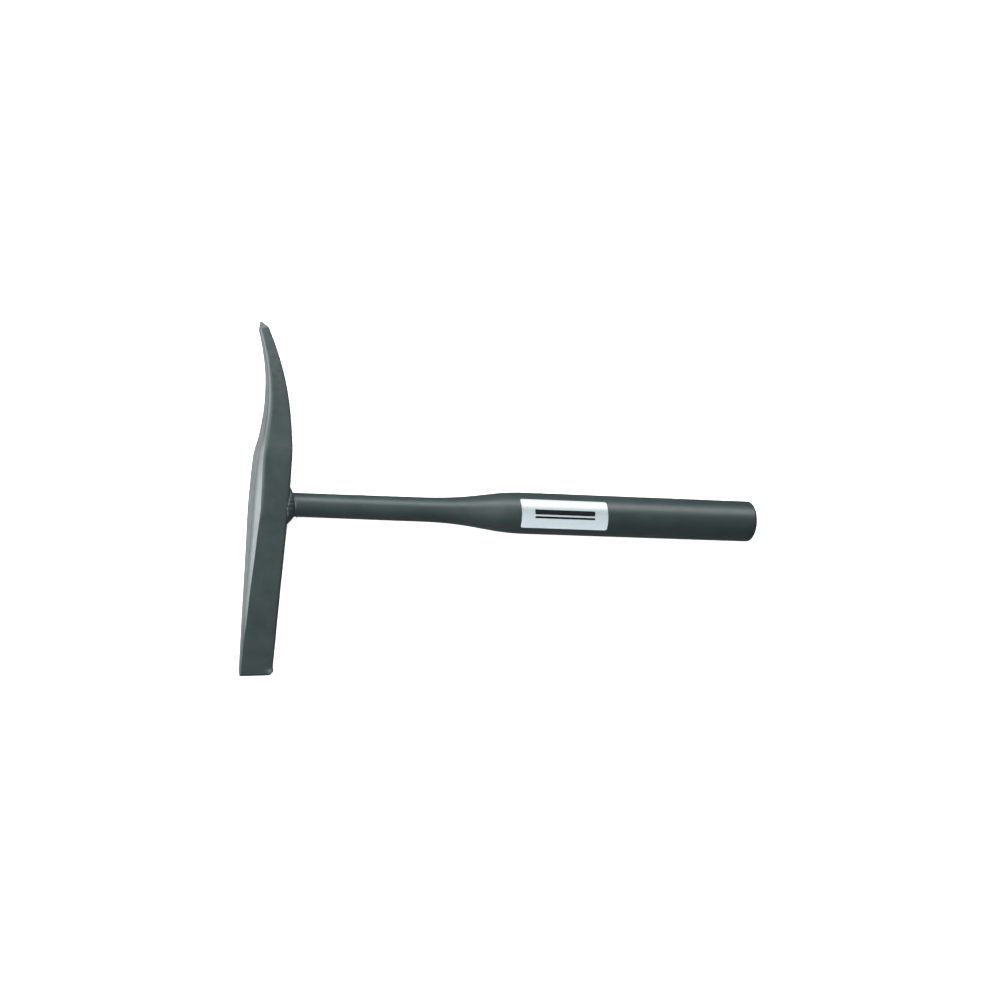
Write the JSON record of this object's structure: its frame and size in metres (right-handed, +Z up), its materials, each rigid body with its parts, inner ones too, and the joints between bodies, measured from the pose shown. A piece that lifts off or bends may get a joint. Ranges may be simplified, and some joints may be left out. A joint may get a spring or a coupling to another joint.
{
  "type": "chipping hammer",
  "caption": "Pick-and-chisel hammer: a forged head with a curved point and a flat chisel, welded to a swaged steel tube handle with a wider grip.",
  "frame": {"origin": "under the middle of the hammer's box, in the plane that the underside of the grip lies on", "axes": "+X along the handle towards its butt, +Y the way the pick points, +Z up, out of the side that carries the label"},
  "size_m": [0.283, 0.1804, 0.0223],
  "materials": {
    "coated_steel": "satin dark grey-green coating over forged and drawn steel, with a fine orange peel and soft wear on the edges",
    "foil": "silver metallised self-adhesive foil",
    "print": "matt dark screen-printed ink, on the label only"
  },
  "bodies": {
    "root": {"hammer_head": "coated_steel", "handle_tube": "coated_steel", "neck_weld": "coated_steel", "end_disc": "coated_steel", "label_foil": "foil"}
  },
  "joints": []
}
